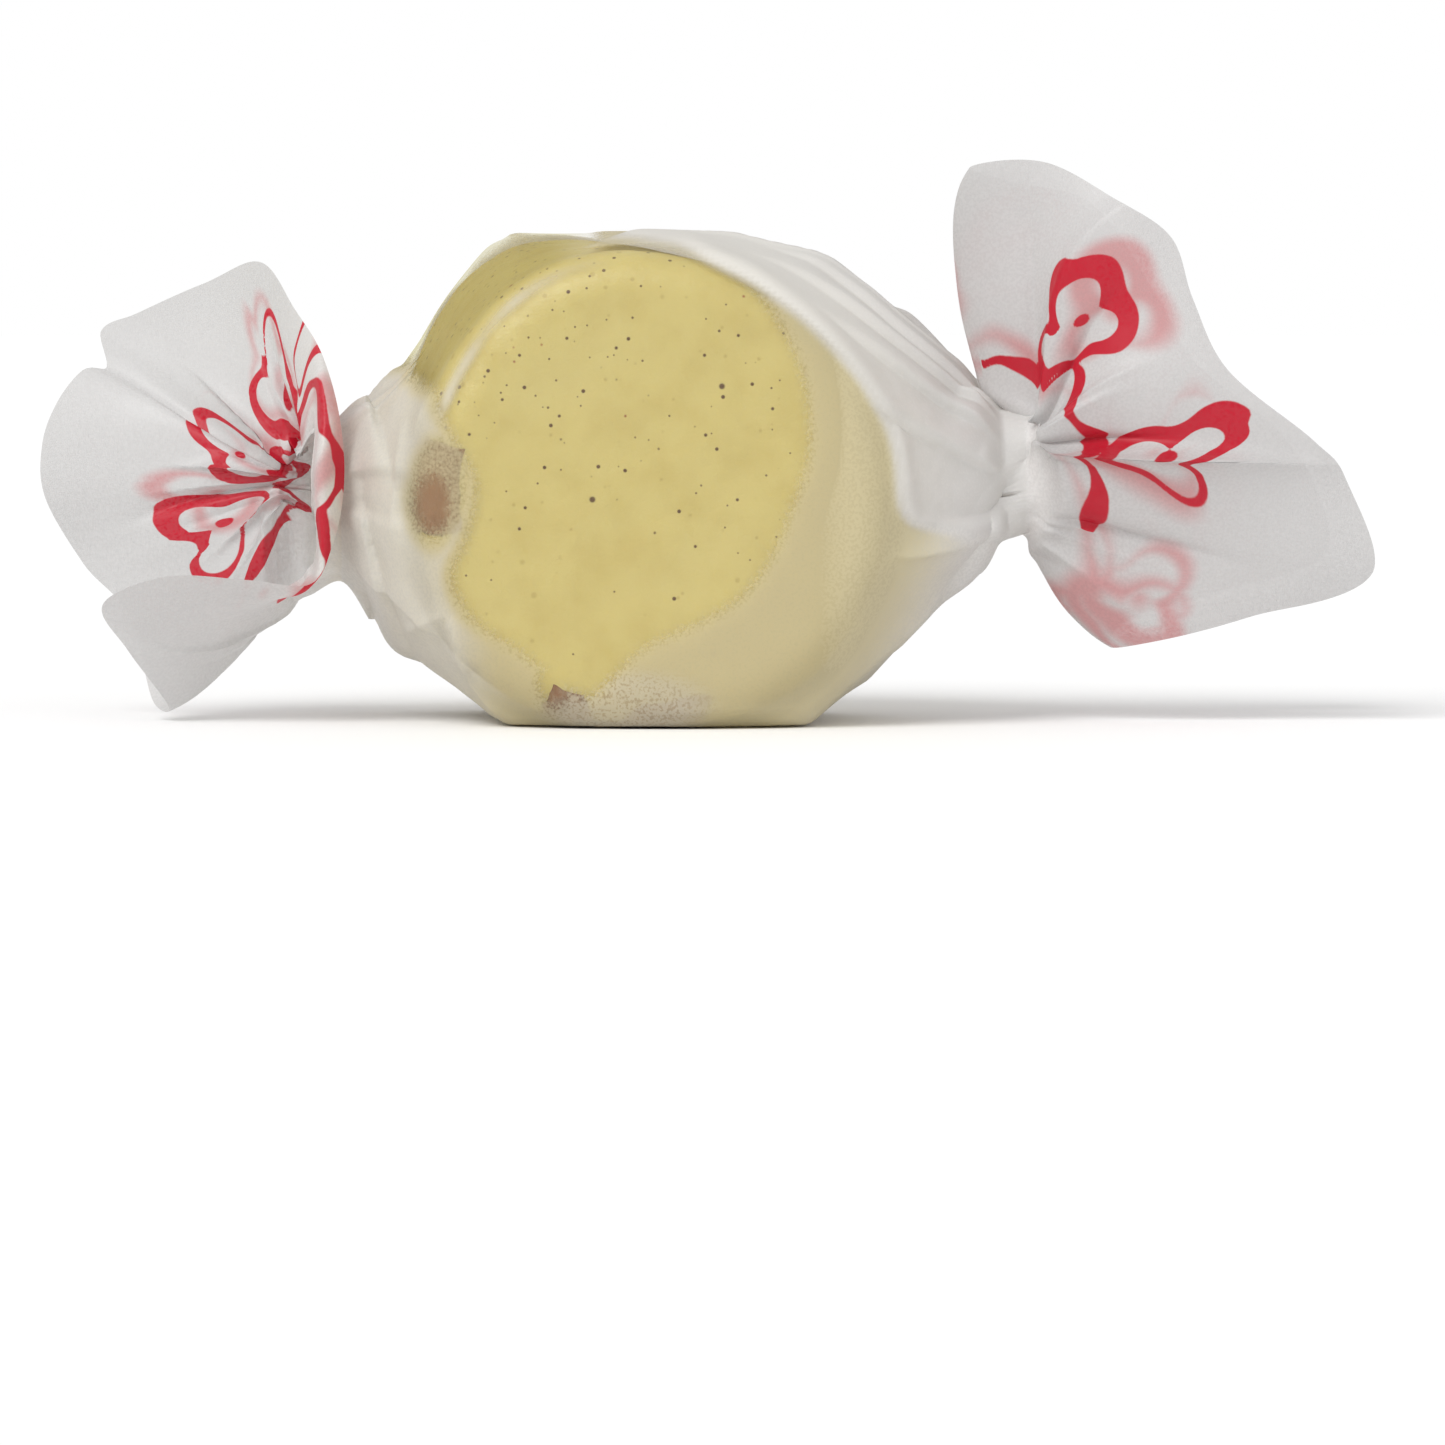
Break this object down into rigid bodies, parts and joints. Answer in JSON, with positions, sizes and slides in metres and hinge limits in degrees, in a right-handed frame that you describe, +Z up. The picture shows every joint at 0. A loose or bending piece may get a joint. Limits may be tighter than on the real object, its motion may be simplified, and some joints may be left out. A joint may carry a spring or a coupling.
{
  "type": "wrapped taffy",
  "caption": "Short round log of cream taffy with caramel stripes on its rim, in a translucent wax-paper wrapper twisted at both sides into flared ends.",
  "frame": {"origin": "middle of the flat patch of paper under the candy, on the ground", "axes": "+Z up, X from the left twist to the right twist, -Y is the way the candy's flat front face looks"},
  "size_m": [0.0672, 0.0208, 0.0281],
  "materials": {
    "taffy_cream": "soft satin pulled candy with fine dark specks",
    "taffy_caramel": "smooth brown caramel",
    "wax_paper": "translucent waxed paper, clear where it clings to the candy and hazy where it stands off, with a red pattern printed on its ends"
  },
  "bodies": {
    "root": {"taffy_cream": "taffy_cream", "caramel_left": "taffy_caramel", "caramel_bottom": "taffy_caramel", "caramel_right": "taffy_caramel", "wrapper": "wax_paper"}
  },
  "joints": []
}
